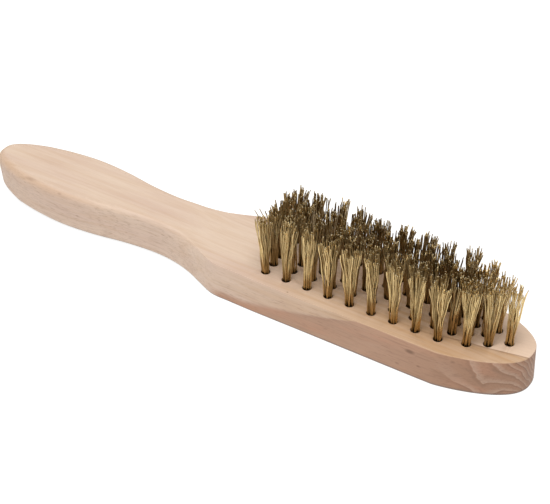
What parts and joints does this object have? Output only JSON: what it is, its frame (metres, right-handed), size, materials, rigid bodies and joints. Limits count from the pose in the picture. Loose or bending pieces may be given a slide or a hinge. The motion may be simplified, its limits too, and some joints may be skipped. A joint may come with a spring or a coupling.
{
  "type": "club groove brush",
  "caption": "Hand brush with a one-piece wooden handle and block and rows of brass wire tufts, for scrubbing dirt out of golf club grooves and other metal surfaces.",
  "frame": {"origin": "on the flat back, under the middle of the brush's length and width", "axes": "+X along the brush from the handle to the toe, +Y across it, +Z out of the block's face, the way the wires point"},
  "size_m": [0.285, 0.0454, 0.0455],
  "materials": {
    "beech": "sanded, unvarnished",
    "brass_wire": "drawn wire, crimped, slightly dull"
  },
  "bodies": {
    "root": {"wood_body": "beech", "tuft_centre_01": "brass_wire", "tuft_centre_02": "brass_wire", "tuft_centre_03": "brass_wire", "tuft_centre_04": "brass_wire", "tuft_centre_05": "brass_wire", "tuft_centre_06": "brass_wire", "tuft_centre_07": "brass_wire", "tuft_centre_08": "brass_wire", "tuft_centre_09": "brass_wire", "tuft_centre_10": "brass_wire", "tuft_centre_11": "brass_wire", "tuft_inner_near_01": "brass_wire", "tuft_inner_near_02": "brass_wire", "tuft_inner_near_03": "brass_wire", "tuft_inner_near_04": "brass_wire", "tuft_inner_near_05": "brass_wire", "tuft_inner_near_06": "brass_wire", "tuft_inner_near_07": "brass_wire", "tuft_inner_near_08": "brass_wire", "tuft_inner_near_09": "brass_wire", "tuft_inner_near_10": "brass_wire", "tuft_inner_near_11": "brass_wire", "tuft_inner_near_12": "brass_wire", "tuft_inner_far_01": "brass_wire", "tuft_inner_far_02": "brass_wire", "tuft_inner_far_03": "brass_wire", "tuft_inner_far_04": "brass_wire", "tuft_inner_far_05": "brass_wire", "tuft_inner_far_06": "brass_wire", "tuft_inner_far_07": "brass_wire", "tuft_inner_far_08": "brass_wire", "tuft_inner_far_09": "brass_wire", "tuft_inner_far_10": "brass_wire", "tuft_inner_far_11": "brass_wire", "tuft_inner_far_12": "brass_wire", "tuft_outer_near_01": "brass_wire", "tuft_outer_near_02": "brass_wire", "tuft_outer_near_03": "brass_wire", "tuft_outer_near_04": "brass_wire", "tuft_outer_near_05": "brass_wire", "tuft_outer_near_06": "brass_wire", "tuft_outer_near_07": "brass_wire", "tuft_outer_near_08": "brass_wire", "tuft_outer_near_09": "brass_wire", "tuft_outer_near_10": "brass_wire", "tuft_outer_far_01": "brass_wire", "tuft_outer_far_02": "brass_wire", "tuft_outer_far_03": "brass_wire", "tuft_outer_far_04": "brass_wire", "tuft_outer_far_05": "brass_wire", "tuft_outer_far_06": "brass_wire", "tuft_outer_far_07": "brass_wire", "tuft_outer_far_08": "brass_wire", "tuft_outer_far_09": "brass_wire", "tuft_outer_far_10": "brass_wire"}
  },
  "joints": []
}
